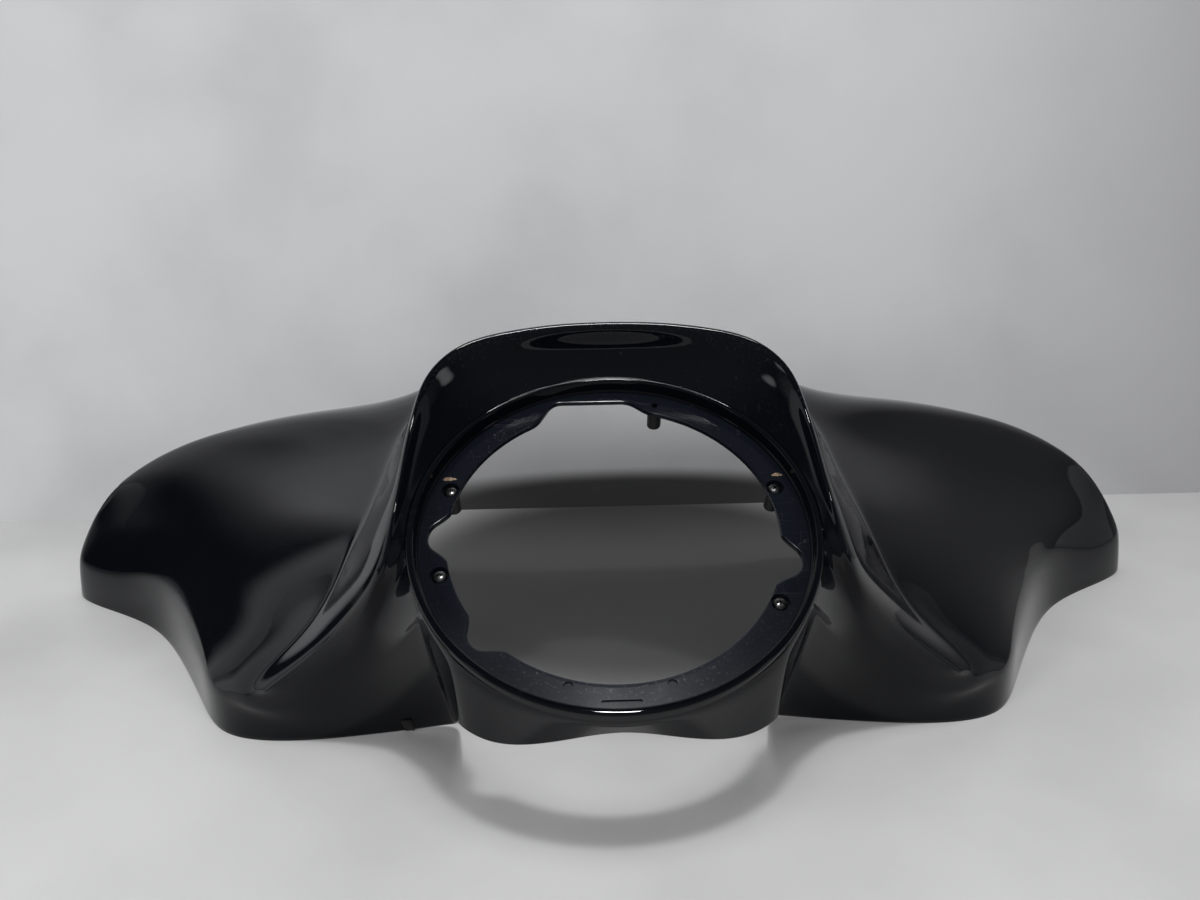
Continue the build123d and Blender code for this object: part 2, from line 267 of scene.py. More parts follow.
card = sheet_of("dark_card", [(CARD_X, y, z) for y, z in CARD_SIZE],
                soft_black_finish("painted_reflection_card_black", card_cover))
mat = sheet_of("dark_mat", [(x, y, MAT_Z) for x, y in MAT_SIZE],
               soft_black_finish("painted_shade_mat_black", mat_cover))
for sheet in (card, mat):
    sheet.visible_camera = sheet.visible_diffuse = sheet.visible_shadow = False
print("mirrored only:", card.name, mat.name)

# %% [markdown]
# ## Sky
#
# The sky is what the paint mirrors beyond bench and wall: dark behind the viewer, brighter towards
# the wall, light strips low at both sides, a weak glow in front, and two soft spots for the
# highlights at the corners of the brow. The same sky for all rays would flood the room, so mirror
# rays, camera rays and all others each get their own level.

# %% Sky
# A glow: axis of the direction looked in, where it starts and stops, and the level at both ends
WALL_GLOW = ("Y", -0.1, 0.6, 0.02, 0.30)
LEFT_GLOW = ("X", -0.97, -0.82, 0.40, 0.0)
RIGHT_GLOW = ("X", 0.82, 0.97, 0.0, 0.16)
LOW_GLOW = ("Z", 0.20, 0.40, 1.0, 0.0)
FRONT_GLOW = ("Y", -0.85, -0.35, 0.16, 0.01)
HORIZON = ("Z", -0.12, 0.05, 0.0, 1.0)
STRIP_SIDES = (0.80, 0.88)
STRIP_RULES = [("Y", 0.19, 0.30, 1.0, 0.0), ("Y", -0.30, -0.15, 0.0, 1.0),
               ("Z", 0.45, 0.60, 1.0, 0.0), ("X", -0.5, 0.5, 0.8, 0.32)]
SPOTS = [(0.855, -0.514, 0.070), (-0.801, -0.561, 0.208)]
SPOT_FADE = (0.995, 0.9997)     # cosine of the angle from the middle of a spot
SPOT_LEVEL = 2.6
ROOM_LEVEL = 0.06
BACKDROP_LEVEL = 0.62

world = bpy.data.worlds.new("room")
bpy.context.scene.world = world
world.use_nodes = True
sky_tree = world.node_tree
looking = node(sky_tree, "ShaderNodeTexCoord").outputs["Generated"]
direction = node(sky_tree, "ShaderNodeSeparateXYZ", {0: looking}).outputs


def glow(axis, *levels):
    """Level of one glow in the direction looked in."""
    return ramp(sky_tree, direction[axis], *levels)


sideways = maths(sky_tree, "MAXIMUM", glow(*LEFT_GLOW), glow(*RIGHT_GLOW))
sideways = maths(sky_tree, "MULTIPLY", sideways, glow(*LOW_GLOW))
strips = ramp(sky_tree, maths(sky_tree, "ABSOLUTE", direction["X"]), *STRIP_SIDES)
for rule in STRIP_RULES:
    strips = maths(sky_tree, "MULTIPLY", strips, glow(*rule))
mirrored = maths(sky_tree, "MAXIMUM", sideways, strips)
mirrored = maths(sky_tree, "MAXIMUM", mirrored, glow(*WALL_GLOW))
mirrored = maths(sky_tree, "MULTIPLY", mirrored, glow(*HORIZON))
mirrored = maths(sky_tree, "MAXIMUM", mirrored, glow(*FRONT_GLOW))
for spot in SPOTS:
    near = node(sky_tree, "ShaderNodeVectorMath", {0: looking, 1: spot}, operation="DOT_PRODUCT")
    bright = ramp(sky_tree, near.outputs["Value"], *SPOT_FADE, 0.0, SPOT_LEVEL)
    mirrored = maths(sky_tree, "MAXIMUM", mirrored, bright)
rays = node(sky_tree, "ShaderNodeLightPath").outputs
level = node(sky_tree, "ShaderNodeMix", {0: rays["Is Glossy Ray"], 2: ROOM_LEVEL, 3: mirrored})
level = node(sky_tree, "ShaderNodeMix",
             {0: rays["Is Camera Ray"], 2: level.outputs[0], 3: BACKDROP_LEVEL})
sky = sky_tree.nodes["Background"]
sky_tree.links.new(level.outputs[0], sky.inputs["Strength"])
sky.inputs["Color"].default_value = (0.98, 0.99, 1.0, 1.0)
print("sky spots", len(SPOTS))

# %% [markdown]
# ## Lamps
#
# One small ceiling lamp draws the thin bright lines on the edges. Three larger lamps light bench
# and wall evenly. In the paint they would show as white discs, so mirror rays don't see them. One
# large lamp alone would leave the edges without a line.

# %% Lamps
CEILING = (0.05, -0.67, 1.9)
AT_FAIRING = (0, -0.1, 0)
AT_WALL = (-0.2, 0.36, 0.3)
# Name, place, target, size in metres, watts, seen in the paint
LAMPS = [("ceiling_lamp", CEILING, AT_FAIRING, 0.15, 10.0, True),
         ("ceiling_fill", CEILING, AT_FAIRING, 0.8, 13.0, False),
         ("left_fill", (-1.30, -1.25, 0.55), AT_WALL, 0.6, 13.0, False),
         ("right_fill", (1.05, -1.25, 0.5), AT_WALL, 0.5, 7.5, False)]

for name, place, target, size, power, seen in LAMPS:
    data = bpy.data.lights.new(name, "AREA")
    data.shape = "DISK"
    data.size = size
    data.energy = power
    lamp = bpy.data.objects.new(name, data)
    aim = (Vector(target) - Vector(place)).to_track_quat("-Z", "Y").to_matrix().to_4x4()
    lamp.matrix_world = Matrix.Translation(place) @ aim
    lamp.visible_glossy = seen
    bpy.context.collection.objects.link(lamp)
print("lamps", [lamp[0] for lamp in LAMPS])

# %% [markdown]
# ## Gloss black paint
#
# The paint is a very dark, slightly blue coat with a hard shine. A flat black would look like a
# hole, so faint things break the mirror as on the real part: orange peel, thin swirl scratches and
# dust that gathers as single specks. A grey film on the chin is painted reflection of the pale
# bench, and the grey film at the foot of the flange is partly dust and partly painted reflection.
# The brow was rubbed along its rim. The meshes below carry the rubbed places and the painted
# reflection as attributes, so that they follow the shape. A painted picture could do it too, but it
# would blur close by.

# %% Scratches and dust
def stretched_scratches(tree, place, stretch, turn, width):
    """Thin long lines: the level line of a noise that is squeezed across one direction."""
    squeezed = node(tree, "ShaderNodeMapping",
                    {"Vector": place, "Rotation": turn, "Scale": stretch}).outputs[0]
    noise = node(tree, "ShaderNodeTexNoise", {"Vector": squeezed, "Scale": 1.0, "Detail": 2.0})
    off_line = maths(tree, "ABSOLUTE", maths(tree, "SUBTRACT", noise.outputs["Fac"], 0.5))
    return ramp(tree, off_line, 0.0, width, 1.0, 0.0)


def dust_specks(tree, place, grain, share):
    """Round specks in a few cells of a grid of random cells."""
    cells = node(tree, "ShaderNodeTexVoronoi", {"Vector": place, "Scale": grain})
    near = ramp(tree, cells.outputs["Distance"], 0.12, 0.30, 1.0, 0.0)
    pick = node(tree, "ShaderNodeSeparateColor", {0: cells.outputs["Color"]}).outputs[0]
    return maths(tree, "MULTIPLY", near, maths(tree, "GREATER_THAN", pick, 1.0 - share))


def noise_of(tree, place, scale, detail):
    """Soft noise from 0 to 1."""
    options = {"Vector": place, "Scale": scale, "Detail": detail}
    return node(tree, "ShaderNodeTexNoise", options).outputs["Fac"]


def rough_bump(tree, shader, height, strength, distance):
    """Tilts the shading by a height."""
    options = {"Height": height, "Strength": strength, "Distance": distance}
    tree.links.new(node(tree, "ShaderNodeBump", options).outputs[0], shader.inputs["Normal"])


print("scratch and dust patterns ready")

# %% [markdown]
# The paint mixes one pale colour into the black by the sum of dust, swirl scratches, rubbed wear
# and a grey film that is painted reflection, partly dust on the flange.
# Where it is pale it is also duller. The flange was handled more, so it gets more of everything.

# %% Paint
DUST_GRAINS = [(620.0, 0.10), (240.0, 0.022)]       # cells per metre, share of cells with a speck
SWIRLS = [((9, 150, 60), (0.3, 0.2, 0.5), 0.006), ((120, 10, 45), (0.1, 0.5, -0.4), 0.005)]
# One pale grey for dust, scratches, wear and the painted reflection of the grey film.
DUST_AND_PAINTED_REFLECTION_COLOUR = (0.17, 0.18, 0.20)
PAINT_IOR = 1.34


def paint_finish(name, colour, roughness, dust_amount, wear_amount, scratch_amount):
    """Black paint with orange peel, swirl scratches, dust, rubbed edges and a grey film of painted
    reflection.
    """
    finish, tree, shader = new_finish(name)
    place = node(tree, "ShaderNodeTexCoord").outputs["Object"]
    smear = ramp(tree, noise_of(tree, place, 11.0, 5.0), 0.42, 0.72)
    specks = maths(tree, "ADD", *[dust_specks(tree, place, *grain) for grain in DUST_GRAINS])
    patchy = maths(tree, "ADD", maths(tree, "MULTIPLY", smear, 0.7), 0.3)
    dust = maths(tree, "MULTIPLY", maths(tree, "MULTIPLY", specks, patchy), dust_amount)
    swirl = maths(tree, "MAXIMUM", *[stretched_scratches(tree, place, *lines) for lines in SWIRLS])
    swirl = maths(tree, "MULTIPLY", swirl, ramp(tree, noise_of(tree, place, 23.0, 3.0), 0.50, 0.68))
    swirl = maths(tree, "MULTIPLY", swirl, scratch_amount)
    worn = node(tree, "ShaderNodeAttribute", attribute_name="rubbed").outputs["Fac"]
    chips = ramp(tree, noise_of(tree, place, 700.0, 4.0), 0.57, 0.70)
    scuff = maths(tree, "MULTIPLY", maths(tree, "MULTIPLY", worn, chips), wear_amount)
    # Painted reflection: the grey film lightens the chin like the mirrored pale bench, and the foot
    # of the flange, where it is partly dust.
    film_and_painted_reflection = node(tree, "ShaderNodeAttribute", attribute_name="painted_reflection_and_film").outputs["Fac"]
    thin = maths(tree, "ADD", maths(tree, "MULTIPLY", smear, 0.02), 0.01)
    film_and_painted_reflection = maths(tree, "MULTIPLY", film_and_painted_reflection, thin)
    pale = maths(tree, "ADD", maths(tree, "ADD", dust, film_and_painted_reflection), maths(tree, "ADD", swirl, scuff))
    pale = maths(tree, "MINIMUM", pale, 1.0)
    tree.links.new(blend_colours(tree, pale, colour, DUST_AND_PAINTED_REFLECTION_COLOUR), shader.inputs["Base Color"])
    rough = maths(tree, "ADD", maths(tree, "MULTIPLY", smear, 0.030), roughness)
    rough = maths(tree, "ADD", maths(tree, "MULTIPLY", pale, 0.35), rough)
    tree.links.new(rough, shader.inputs["Roughness"])
    rough_bump(tree, shader, noise_of(tree, place, 380.0, 2.0), 0.02, 0.0002)
    shader.inputs["IOR"].default_value = PAINT_IOR
    return finish


gloss_black = paint_finish("gloss_black_paint", (0.0022, 0.0027, 0.0042), 0.03, 0.07, 0.06, 0.03)
flange_black = paint_finish("rubbed_flange_paint", (0.0050, 0.0062, 0.0100), 0.13, 0.12, 0.16, 0.12)
print("paints", gloss_black.name, flange_black.name)

# %% [markdown]
# The inside of the moulding was never painted. It is dull black plastic with flow marks from the
# mould and a fine grain. It takes no wear, because nothing touches it.

# %% Bare plastic
def bare_plastic_finish():
    """Unpainted inside of the moulding: dull black with a fine mould grain."""
    finish, tree, shader = new_finish("bare_black_plastic")
    place = node(tree, "ShaderNodeTexCoord").outputs["Object"]
    flow = noise_of(tree, place, 14.0, 5.0)
    colour = blend_colours(tree, ramp(tree, flow, 0.40, 0.75), (0.010, 0.010, 0.011),
                           (0.022, 0.022, 0.023))
    tree.links.new(colour, shader.inputs["Base Color"])
    tree.links.new(ramp(tree, flow, 0.3, 0.8, 0.42, 0.60), shader.inputs["Roughness"])
    rough_bump(tree, shader, noise_of(tree, place, 900.0, 2.0), 0.25, 0.0002)
    return finish


bare_plastic = bare_plastic_finish()
print("inside", bare_plastic.name)

# %% [markdown]
# ## Skin: a cage through the styling lines
#
# A fairing is styled by a few lines: the ridge round the brow, the crease of the channel beside it,
# the crown of the wing, the shoulder and the trimmed edge. Each line has one point per station on
# the right half, from the middle of the brow to the corner of the lobe. A net of four-sided cells
# through these points and a Subdivision Surface give a skin that bends evenly, as a mirror needs.
# Sculpting or joining separate patches would leave seams in the reflections.

# %% Styling lines
RIDGE = [(0, -16, 241), (30, -17.5, 240.5), (55, -21, 238), (79, -25.5, 235), (95, -34, 227.5),
         (105, -43, 216), (109, -52, 202), (112, -69, 183.5), (113, -87.5, 166), (115, -104, 150.5),
         (119, -117, 131.5), (130, -110, 112), (152.5, -92, 82), (185, -79, 53), (208, -75, 34)]
CREASE = [(0, 6, 236), (31, 5, 235), (55, 2, 232), (82, -3, 223), (100, -8, 205),
          (113, -14, 190), (120, -21, 181), (126, -36, 171), (131, -51, 156), (140, -62, 139),
          (151, -62, 118.5), (162.5, -60, 94), (182, -57, 66), (206.5, -58, 45.5), (220, -67, 31)]
CROWN = [(0, 44, 222), (45, 46, 215), (88, 56, 187), (132, 76, 164), (180, 99, 162),
         (232, 116, 160), (288, 130, 150), (341, 161, 136), (396, 183, 104), (408, 182, 68),
         (366, 134, 55), (316, 84, 51), (273, 27, 51), (244, -29, 42), (231, -66, 26)]
RISE = {7: (229, 69, 138), 8: (240, 65, 118), 9: (246, 54, 101), 10: (241, 34, 91),
        11: (236, 7, 76), 12: (227, -18, 61), 13: (225, -46, 45)}
FALL = {8: (420, 187, 84), 9: (434, 181, 58)}
SHOULDER = [(0, 86, 210), (47, 89, 205), (93, 102, 182), (138, 122, 158), (187, 142, 145),
            (241, 158, 124), (300, 170, 97), (360, 179, 68), (424, 186, 50), (452, 170, 30),
            (406, 142, 31), (346, 109, 31), (302, 46, 31), (264, -18, 30), (243, -58, 26)]
EDGE = [(0, 96, 203), (48, 99, 198), (95, 112, 174), (140, 133, 148), (191, 153, 132),
        (246, 169, 111), (306, 181, 81), (367, 188, 50), (428, 189, 12), (450, 164, 0),
        (406, 133, 0), (347, 99, 0), (303, 40, 0), (263, -23, 0), (239, -60, 0)]
LOBE_EDGE = [(98, -56, 3), (125, -60, 2), (152, -63, 1), (196, -67, 0), (239, -60, 0)]
CHIN_EDGE = [(98, -56, 3), (95.5, -66, 9), (89, -101, 31), (81.5, -138, 54), (79, -147, 57),
             (68, -153, 53), (52, -156, 51), (28, -168, 61), (0, -178, 73)]
RING_ANGLES = [0, 14, 26, 37, 46, 54, 62, 71, 81, 91, 100, 108, 117.5, 120, 126, 132.5, 135,
               143, 153, 166, 180]
BOWL_END = 10       # station where the ridge leaves the bowl and goes on beside the lobe
CHIN_START = 12     # ring angle where the chin begins
LAST = 14           # station of the lobe corner
print(len(RIDGE), "stations on each of five lines")

# %% [markdown]
# Between the lines lie rows that say how tightly the skin bends. Two rows close to the ridge make
# it a rounded rim. Two rows beside the crease make the channel, and their distance falls from 12 mm
# at the brow to 6 mm at the lobe, so that the channel tightens. Rise and fall rows lie halfway
# between two lines, apart from the stations that are listed one by one. Edge creases on a coarser
# cage would also sharpen a bend, but not set its width.

# %% Rows between the lines
WING_ROWS = ["out", "strip", "crease", "valley", "rise", "crown", "fall", "upper", "lower", "edge"]
CHIN_ROWS = {"chin1": 0, "chin2": 0.3, "chin3": 0.58, "chin4": 0.82, "chin5": 1}
LOBE_ROWS = [[0.05, 0.10, 0.16, 0.25, 0.36, 0.48, 0.60, 0.73, 0.87, 1],
             [0.06, 0.13, 0.21, 0.31, 0.42, 0.53, 0.65, 0.77, 0.89, 1],
             [0.10, 0.20, 0.30, 0.40, 0.50, 0.60, 0.70, 0.80, 0.90, 1]]
LOBE_BULGE = [5, 3, 1]
LOBE_ROLL = 0.2
LOBE_LEAN = Vector((0.15, -0.9, -0.2))
# Row, line of the lobe corner that it starts from, share of the way to the next line
CORNER_ROWS = [("in", 0, 0), ("out", 0, 0.33), ("strip", 0, 0.66), ("crease", 1, 0),
               ("valley", 1, 0.33), ("rise", 1, 0.66), ("crown", 2, 0), ("fall", 2, 0.5),
               ("upper", 2, 0.85), ("lower", 3, 0.25), ("edge", 3, 1)]
RIDGE_BAND = 5.0
RIDGE_RISE = 2.5
CREASE_BAND = [12] * 9 + [10, 8, 6, 6, 6]
SHOULDER_ROUND = 6.0
SWELL_SHARE = 0.25
SWELL_END = 8           # from this station on, the fall row gets no swell
BOWL_SAG = 4.0
BOWL_SAG_OUT = 0.8
BOWL_SAG_DOWN = 0.6
BOWL_FULL_WIDTH = 35    # a narrower bowl sags less
TABLE_SHIFT = Vector((0, 1.196, 0))     # puts the origin under the middle of the box
print(len(WING_ROWS), "wing rows,", len(CHIN_ROWS), "chin rows,", len(LOBE_ROWS), "lobe columns")

# %% [markdown]
# The headlight ring is a tilted circle, so points on it are easiest to give as a radius, an angle
# from the top and a height above the ring's own plane. One matrix takes that plane to the table.

# %% Ring plane
RING_CENTRE = Vector((0, -100, 147))
RING_TILT = radians(56.5)
RING_R = 106.0
RING_GROWTH = 1.6       # the skin starts this much further out at the bottom of the ring
RING_DROP = 3
FOOT_R = 110.5
FOOT_RISE = 1
CHIN_DROP = 5
ring_normal = Vector((0, -cos(RING_TILT), sin(RING_TILT)))
ring_up = Vector((0, sin(RING_TILT), cos(RING_TILT)))


def ring_point(radius, angle, height):
    """Point at a clockwise angle from the top of the ring, height above the ring plane."""
    a = radians(angle)
    across = Vector((1, 0, 0)) * (radius * sin(a))
    return RING_CENTRE + across + ring_up * (radius * cos(a)) + ring_normal * height


ring_axes = Matrix((Vector((1, 0, 0)), ring_up, ring_normal)).transposed().to_4x4()
RING_TO_TABLE = (Matrix.Scale(MM, 4) @ Matrix.Translation(RING_CENTRE + TABLE_SHIFT) @ ring_axes)
print("ring top in metres", [round(c, 4) for c in RING_TO_TABLE @ Vector((0, RING_R, 0))])

# %% [markdown]
# Each cage point has a name, a row and a station, so that the cells can be listed row by row and a
# wrong join stops the script. Numbered points would be shorter to write but hard to change. The
# first points are those of the bowl, which sags a little between the ring and the ridge.

# %% Cage of the bowl
ridge, crease, crown, shoulder, edge, lobe, chin = [
    [Vector(p) for p in line]
    for line in (RIDGE, CREASE, CROWN, SHOULDER, EDGE, LOBE_EDGE, CHIN_EDGE)]
cage = {}
for i, angle in enumerate(RING_ANGLES):
    outward = (1 - cos(radians(angle))) / 2
    cage["ring", i] = ring_point(RING_R + RING_GROWTH * outward, angle, -RING_DROP)
for j in range(BOWL_END + 1):
    foot = ring_point(FOOT_R, RING_ANGLES[j], FOOT_RISE)
    away = foot.lerp(ridge[j], 0.5) - RING_CENTRE
    away = (away - ring_normal * away.dot(ring_normal)).normalized()
    depth = min(BOWL_SAG, BOWL_SAG * (ridge[j] - foot).length / BOWL_FULL_WIDTH)
    cage["foot", j] = foot
    sag = away * BOWL_SAG_OUT - ring_normal * BOWL_SAG_DOWN
    cage["bowl", j] = foot.lerp(ridge[j], 0.5) + sag * depth
print(len(cage), "cage points on ring and bowl")

# %% [markdown]
# The wing is drawn station by station, from the ridge out to the trimmed edge. The cage stands a
# little proud of the ridge line, because subdivision pulls the skin inwards at a tight bend. Moving
# the points until the finished skin hits the line would do the same, but less evenly.


# %% Cage of the wing
def wing_station(j):
    """Adds the cage points of one station."""
    slope = ridge[j] - crease[j]
    strip = crease[j] + slope.normalized() * min(CREASE_BAND[j], 0.55 * slope.length)
    below = cage["bowl", j] if j <= BOWL_END else ridge[j].lerp(lobe[j - BOWL_END], 0.12)
    inward = (below - ridge[j]).normalized()
    outward = (strip - ridge[j]).normalized()
    apex = ridge[j] - (inward + outward).normalized() * RIDGE_RISE
    cage["in", j] = apex + inward * min(RIDGE_BAND, 0.45 * (below - ridge[j]).length)
    cage["out", j] = apex + outward * RIDGE_BAND
    cage["strip", j] = strip
    cage["crease", j] = crease[j]
    share = (crown[j] - crease[j]).length / (shoulder[j] - crease[j]).length
    swell = (crown[j] - crease[j].lerp(shoulder[j], share)) * SWELL_SHARE
    rise = Vector(RISE[j]) if j in RISE else crease[j].lerp(crown[j], 0.5) + swell
    climb = rise - crease[j]
    cage["rise", j] = rise
    cage["valley", j] = crease[j] + climb.normalized() * min(CREASE_BAND[j], 0.4 * climb.length)
    cage["crown", j] = crown[j]
    fall = Vector(FALL[j]) if j in FALL else crown[j].lerp(shoulder[j], 0.5)
    if j < SWELL_END:
        fall = fall + swell
    drop = edge[j] - shoulder[j]
    cage["fall", j] = fall
    cage["upper", j] = shoulder[j] + (fall - shoulder[j]).normalized() * SHOULDER_ROUND
    cage["lower", j] = shoulder[j] + drop.normalized() * min(SHOULDER_ROUND, 0.4 * drop.length)
    cage["edge", j] = edge[j]


for j in range(LAST):
    wing_station(j)
corner = [line[LAST] for line in (ridge, crease, crown, shoulder, edge)]
for row, k, t in CORNER_ROWS:
    cage[row, LAST] = corner[k].lerp(corner[k + 1], t)
print(len(cage), "cage points with the wing")

# %% [markdown]
# Chin and lobe are simple panels between two lines, so their points are shares of the way from the
# upper line to the lower one. The lobe bulges forward a little, most near its top.

# %% Cage of chin and lobe
for i, bottom in enumerate(chin, CHIN_START):
    top = ring_point(FOOT_R, RING_ANGLES[i], -CHIN_DROP)
    for row, t in CHIN_ROWS.items():
        cage[row, i] = top.lerp(bottom, t)
for c, (shares, most) in enumerate(zip(LOBE_ROWS, LOBE_BULGE), 1):
    for m, t in enumerate(shares, 1):
        bulge = LOBE_LEAN * most * min(t / LOBE_ROLL, (1 - t) / (1 - LOBE_ROLL))
        cage[f"lobe{m}", BOWL_END + c] = cage["in", BOWL_END + c].lerp(lobe[c], t) + bulge
print(len(cage), "cage points on the right half")

# %% [markdown]
# The cells join neighbouring rows of the bowl, the wing and the chin. The lobe fills the gap
# between the chin and the outer corner, column by column.


# %% Cells of the cage
def band(inner, outer, first, last):
    """Cells between two rows."""
    return [[(inner, j), (inner, j + 1), (outer, j + 1), (outer, j)] for j in range(first, last)]


cells = []
for inner, outer in [("ring", "foot"), ("foot", "bowl"), ("bowl", "in")]:
    cells += band(inner, outer, 0, BOWL_END)
for inner, outer in zip(["in"] + WING_ROWS, WING_ROWS):
    cells += band(inner, outer, 0, LAST)
for inner, outer in zip(["ring", *CHIN_ROWS], CHIN_ROWS):
    cells += band(inner, outer, CHIN_START, len(RING_ANGLES) - 1)
neck = [(row, BOWL_END) for row in ("in", "bowl", "foot", "ring")]
neck += [("ring", i) for i in range(BOWL_END + 1, CHIN_START + 1)]
columns = [neck + [(row, CHIN_START) for row in CHIN_ROWS]]
for j in range(BOWL_END + 1, LAST):
    columns.append([("in", j)] + [(f"lobe{m}", j) for m in range(1, len(LOBE_ROWS[0]) + 1)])
columns.append([(row, LAST) for row in ["in"] + WING_ROWS])
for near, far in zip(columns, columns[1:]):
    for m in range(len(near) - 1):
        cells.append([near[m], near[m + 1], far[m + 1], far[m]])
print(len(cells), "cells on the right half")

# %% [markdown]
# ## Workshop steps
#
# Five steps come back for every piece: link a mesh, make its modifiers final, shade it, drill and
# cut. Cutting with closed drills gives real holes with a wall. Pushing points aside would bend the
# mirror round each hole.


# %% Workshop steps
def settle(piece):
    """Replaces a piece's mesh by what its modifiers make of it."""
    graph = bpy.context.evaluated_depsgraph_get()
    mesh = bpy.data.meshes.new_from_object(piece.evaluated_get(graph))
    piece.modifiers.clear()
    piece.data = mesh
    return piece


def new_piece(name, mesh, finishes):
    """Links a mesh into the scene as a piece with its finishes."""
    piece = bpy.data.objects.new(name, mesh)
    bpy.context.collection.objects.link(piece)
    for finish in finishes:
        if finish.name not in mesh.materials:
            mesh.materials.append(finish)
    return piece


def smooth_but_sharp(mesh, angle):
    """Smooth shading that keeps real corners."""
    mesh.shade_smooth()
    mesh.set_sharp_from_angle(angle=radians(angle))


def drill(radius, length, place):
    """A closed cylinder for cutting, along Z of its place."""
    mesh = bpy.data.meshes.new("drill")
    shape = bmesh.new()
    bmesh.ops.create_cone(shape, cap_ends=True, segments=48, radius1=radius, radius2=radius,
                          depth=length, matrix=place)
    shape.to_mesh(mesh)
    shape.free()
    return new_piece("drill", mesh, [])


def cut(piece, cutters):
    """Cuts the cutters out of the piece and throws them away."""
    for cutter in cutters:
        modifier = piece.modifiers.new("cut", "BOOLEAN")
        modifier.object = cutter
        modifier.solver = "EXACT"
    settle(piece)
    for cutter in cutters:
        bpy.data.objects.remove(cutter)


print("workshop steps ready")

# %% [markdown]
# ## Build the skin
#
# The left half is the mirror image, joined at the middle line. Subdivision makes the skin fine,
# Solidify gives it the wall of the moulding with the bare plastic inside, and a small Bevel rounds
# the trimmed rim so that it catches a line of light. A Mirror modifier could make the left half
# too, but it finds the points of the middle line by distance. Here both halves share them.

# %% Skin
WALL = 3.0
RIM_ROUND = 0.8
RUBBED_END = 6      # the brow is rubbed up to this station


def skin_mesh():
    """The open cage of both halves, with the rubbed places and the chin's painted reflection as
    attributes.
    """
    points, rubbed, painted_reflection_and_film, number = [], [], [], {}
    for (row, station), p in cage.items():
        sides = (1, -1) if abs(p.x) > 0.01 else (1,)
        for side in sides:
            number[row, station, side] = len(points)
            points.append((Vector((side * p.x, p.y, p.z)) + TABLE_SHIFT) * MM)
            rubbed.append(1.0 if row in ("in", "out") and station <= RUBBED_END else 0.0)
            # The chin rows carry painted reflection: a pale grey that stands for the bench mirrored
            # in the chin.
            painted_reflection_and_film.append(1.0 if row.startswith("chin") else 0.0)
        number.setdefault((row, station, -1), number[row, station, 1])
    faces = []
    for cell in cells:
        faces.append([number[(*name, 1)] for name in cell])
        faces.append([number[(*name, -1)] for name in reversed(cell)])
    mesh = bpy.data.meshes.new("fairing_skin")
    mesh.from_pydata(points, [], faces)
    mesh.attributes.new("rubbed", "FLOAT", "POINT").data.foreach_set("value", rubbed)
    mesh.attributes.new("painted_reflection_and_film", "FLOAT", "POINT").data.foreach_set("value", painted_reflection_and_film)
    mesh.shade_smooth()
    return mesh


skin = new_piece("fairing_skin", skin_mesh(), [gloss_black, bare_plastic])
subdivide = skin.modifiers.new("even_bends", "SUBSURF")
subdivide.levels = 3
subdivide.render_levels = 3
wall = skin.modifiers.new("wall", "SOLIDIFY")
wall.thickness = WALL * MM
wall.offset = -1.0
wall.material_offset = 1
wall.use_quality_normals = True
round_rim = skin.modifiers.new("rim", "BEVEL")
round_rim.width = RIM_ROUND * MM
round_rim.segments = 2
round_rim.limit_method = "ANGLE"
round_rim.angle_limit = radians(60)
settle(skin)
print("skin faces", len(skin.data.polygons))

# %% [markdown]
# Two windscreen holes go through the rear of the brow. They are drilled square to the finished
# skin, which leans back and to the side there.

# %% Windscreen holes
SCREEN_HOLE_R = 3.25
SCREEN_HOLE_PLACE = Vector((32, 80, 209))
SCREEN_HOLE_LEAN = 15.6
SCREEN_HOLE_SPLAY = 9.6
SCREEN_DRILL = 30

screen_drills = []
for side in (-1, 1):
    lean = Matrix.Rotation(radians(-SCREEN_HOLE_LEAN), 4, "X")
    splay = Matrix.Rotation(radians(side * SCREEN_HOLE_SPLAY), 4, "Y")
    centre = Vector((side * SCREEN_HOLE_PLACE.x, SCREEN_HOLE_PLACE.y, SCREEN_HOLE_PLACE.z))
    place = Matrix.Translation((centre + TABLE_SHIFT) * MM) @ lean @ splay
    screen_drills.append(drill(SCREEN_HOLE_R * MM, SCREEN_DRILL * MM, place))
cut(skin, screen_drills)
smooth_but_sharp(skin.data, 42)
print("skin faces with two holes", len(skin.data.polygons))

# %% [markdown]
# ## Headlight lip and flange
#
# The headlight ring drops into a round recess: a rounded lip outside, a short wall, and a flat
# flange below. The lip is the same all round, so one section is spun about the ring axis. A
# bevelled tube would be quicker, but all its rounds would be the same.

# %% Spun lip
LIP_R_IN = 104.5
LIP_R_OUT = 108.5
LIP_TOP = 0.8
LIP_FOOT_ROUND = 1.6
LIP_IN_ROUND = 1.2
LIP_OUT_ROUND = 1.6
LIP_STEPS = 360
FLANGE_DEPTH = 8.0
FLANGE_T = 3.0


def arc(centre_r, centre_z, radius, start, end, count):
    """Section points on an arc, angles in degrees from the outward direction."""
    angles = [radians(start + (end - start) * k / count) for k in range(count + 1)]
    return [(centre_r + radius * cos(a), centre_z + radius * sin(a)) for a in angles]


def loop_mesh(name, rings):
    """Joins equally long closed rings of points into a closed tube of quads."""
    count = len(rings[0])
    points = [p for ring in rings for p in ring]
    faces = []
    for i in range(len(rings)):
        for k in range(count):
            near, far = i * count, ((i + 1) % len(rings)) * count
            faces.append((near + k, near + (k + 1) % count, far + (k + 1) % count, far + k))
    mesh = bpy.data.meshes.new(name)
    mesh.from_pydata(points, [], faces)
    shape = bmesh.new()
    shape.from_mesh(mesh)
    bmesh.ops.recalc_face_normals(shape, faces=shape.faces)
    shape.to_mesh(mesh)
    shape.free()
    return mesh


def spun(section, steps):
    """Each section point swept round the ring axis."""
    return [[(r * sin(2 * pi * k / steps), r * cos(2 * pi * k / steps), z) for k in range(steps)]
            for r, z in section]


